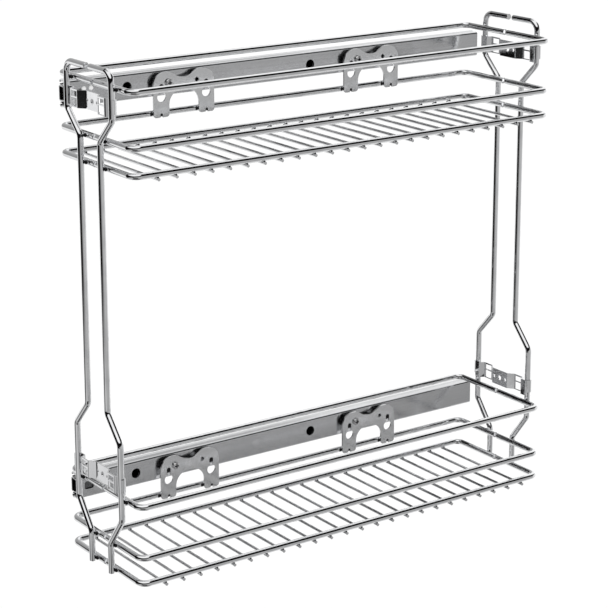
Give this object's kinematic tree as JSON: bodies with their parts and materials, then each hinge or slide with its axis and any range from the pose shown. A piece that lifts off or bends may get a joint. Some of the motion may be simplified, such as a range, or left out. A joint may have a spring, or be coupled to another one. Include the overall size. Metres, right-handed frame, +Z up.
{
  "type": "two-tier pull-out cabinet organizer",
  "caption": "Two-tier chrome wire pull-out organizer on side-mounted telescopic ball slides, for a narrow base cabinet.",
  "frame": {"origin": "centre of the four wall screw holes, in the plane of the cabinet side wall", "axes": "+X from the front of the cabinet to its back (the organizer pulls out along -X), +Y into the cabinet side wall, +Z up"},
  "size_m": [0.505, 0.145, 0.484],
  "materials": {
    "chrome_wire": "bright chrome plated steel wire",
    "slide_steel": "satin zinc plated steel strip",
    "hanger_steel": "bright zinc plated stamped plate",
    "clip_steel": "nickel plated stamped sheet",
    "fastener_steel": "zinc plated fasteners",
    "ball_steel": "polished bearing balls",
    "strip_steel": "thin plated ball strip",
    "buffer_plastic": "black rubber buffer"
  },
  "bodies": {
    "wall_side": {"wall_rail_upper": "slide_steel", "rear_buffer_upper": "buffer_plastic", "wall_rail_lower": "slide_steel", "rear_buffer_lower": "buffer_plastic"},
    "carriage": {"carriage_rail_upper": "slide_steel", "upper_floor_rail_near": "chrome_wire", "upper_floor_rail_far": "chrome_wire", "upper_middle_rail_near": "chrome_wire", "upper_middle_rail_far": "chrome_wire", "upper_top_rail_near": "chrome_wire", "upper_top_rail_far": "chrome_wire", "cross_rods_upper": "chrome_wire", "hanger_bracket_upper_front": "hanger_steel", "hanger_bracket_upper_rear": "hanger_steel", "carriage_rail_lower": "slide_steel", "lower_floor_rail_near": "chrome_wire", "lower_floor_rail_far": "chrome_wire", "lower_middle_rail_near": "chrome_wire", "lower_middle_rail_far": "chrome_wire", "lower_top_rail_near": "chrome_wire", "lower_top_rail_far": "chrome_wire", "cross_rods_lower": "chrome_wire", "hanger_bracket_lower_front": "hanger_steel", "hanger_bracket_lower_rear": "hanger_steel", "hanger_screws": "fastener_steel", "hanger_spacers": "fastener_steel", "hanger_pegs": "fastener_steel", "upright_front_near": "chrome_wire", "upright_front_far": "chrome_wire", "clip_bracket_front_upper": "clip_steel", "clip_bracket_front_lower": "clip_steel", "upright_rear_near": "chrome_wire", "upright_rear_far": "chrome_wire", "clip_bracket_rear_upper": "clip_steel", "clip_bracket_rear_lower": "clip_steel"},
    "middle_slide_upper": {"middle_rail_upper": "slide_steel"},
    "wall_side_cage_upper": {"wall_side_balls_upper": "ball_steel", "wall_side_ball_strips_upper": "strip_steel"},
    "carriage_side_cage_upper": {"carriage_side_balls_upper": "ball_steel", "carriage_side_ball_strips_upper": "strip_steel"},
    "middle_slide_lower": {"middle_rail_lower": "slide_steel"},
    "wall_side_cage_lower": {"wall_side_balls_lower": "ball_steel", "wall_side_ball_strips_lower": "strip_steel"},
    "carriage_side_cage_lower": {"carriage_side_balls_lower": "ball_steel", "carriage_side_ball_strips_lower": "strip_steel"}
  },
  "joints": [
    {"name": "pull_out", "type": "slide", "parent": "wall_side", "child": "carriage", "axis": [-1, 0, 0], "range_m": [0, 0.45]},
    {"name": "middle_slide_upper_travel", "type": "slide", "parent": "wall_side", "child": "middle_slide_upper", "axis": [-1, 0, 0], "range_m": [0, 0.225]},
    {"name": "wall_side_cage_upper_travel", "type": "slide", "parent": "wall_side", "child": "wall_side_cage_upper", "axis": [-1, 0, 0], "range_m": [0, 0.1125]},
    {"name": "carriage_side_cage_upper_travel", "type": "slide", "parent": "wall_side", "child": "carriage_side_cage_upper", "axis": [-1, 0, 0], "range_m": [0, 0.3375]},
    {"name": "middle_slide_lower_travel", "type": "slide", "parent": "wall_side", "child": "middle_slide_lower", "axis": [-1, 0, 0], "range_m": [0, 0.225]},
    {"name": "wall_side_cage_lower_travel", "type": "slide", "parent": "wall_side", "child": "wall_side_cage_lower", "axis": [-1, 0, 0], "range_m": [0, 0.1125]},
    {"name": "carriage_side_cage_lower_travel", "type": "slide", "parent": "wall_side", "child": "carriage_side_cage_lower", "axis": [-1, 0, 0], "range_m": [0, 0.3375]}
  ],
  "couplings": [
    {"joint": "middle_slide_upper_travel", "follows": "pull_out", "ratio": 0.5},
    {"joint": "wall_side_cage_upper_travel", "follows": "pull_out", "ratio": 0.25},
    {"joint": "carriage_side_cage_upper_travel", "follows": "pull_out", "ratio": 0.75},
    {"joint": "middle_slide_lower_travel", "follows": "pull_out", "ratio": 0.5},
    {"joint": "wall_side_cage_lower_travel", "follows": "pull_out", "ratio": 0.25},
    {"joint": "carriage_side_cage_lower_travel", "follows": "pull_out", "ratio": 0.75}
  ]
}
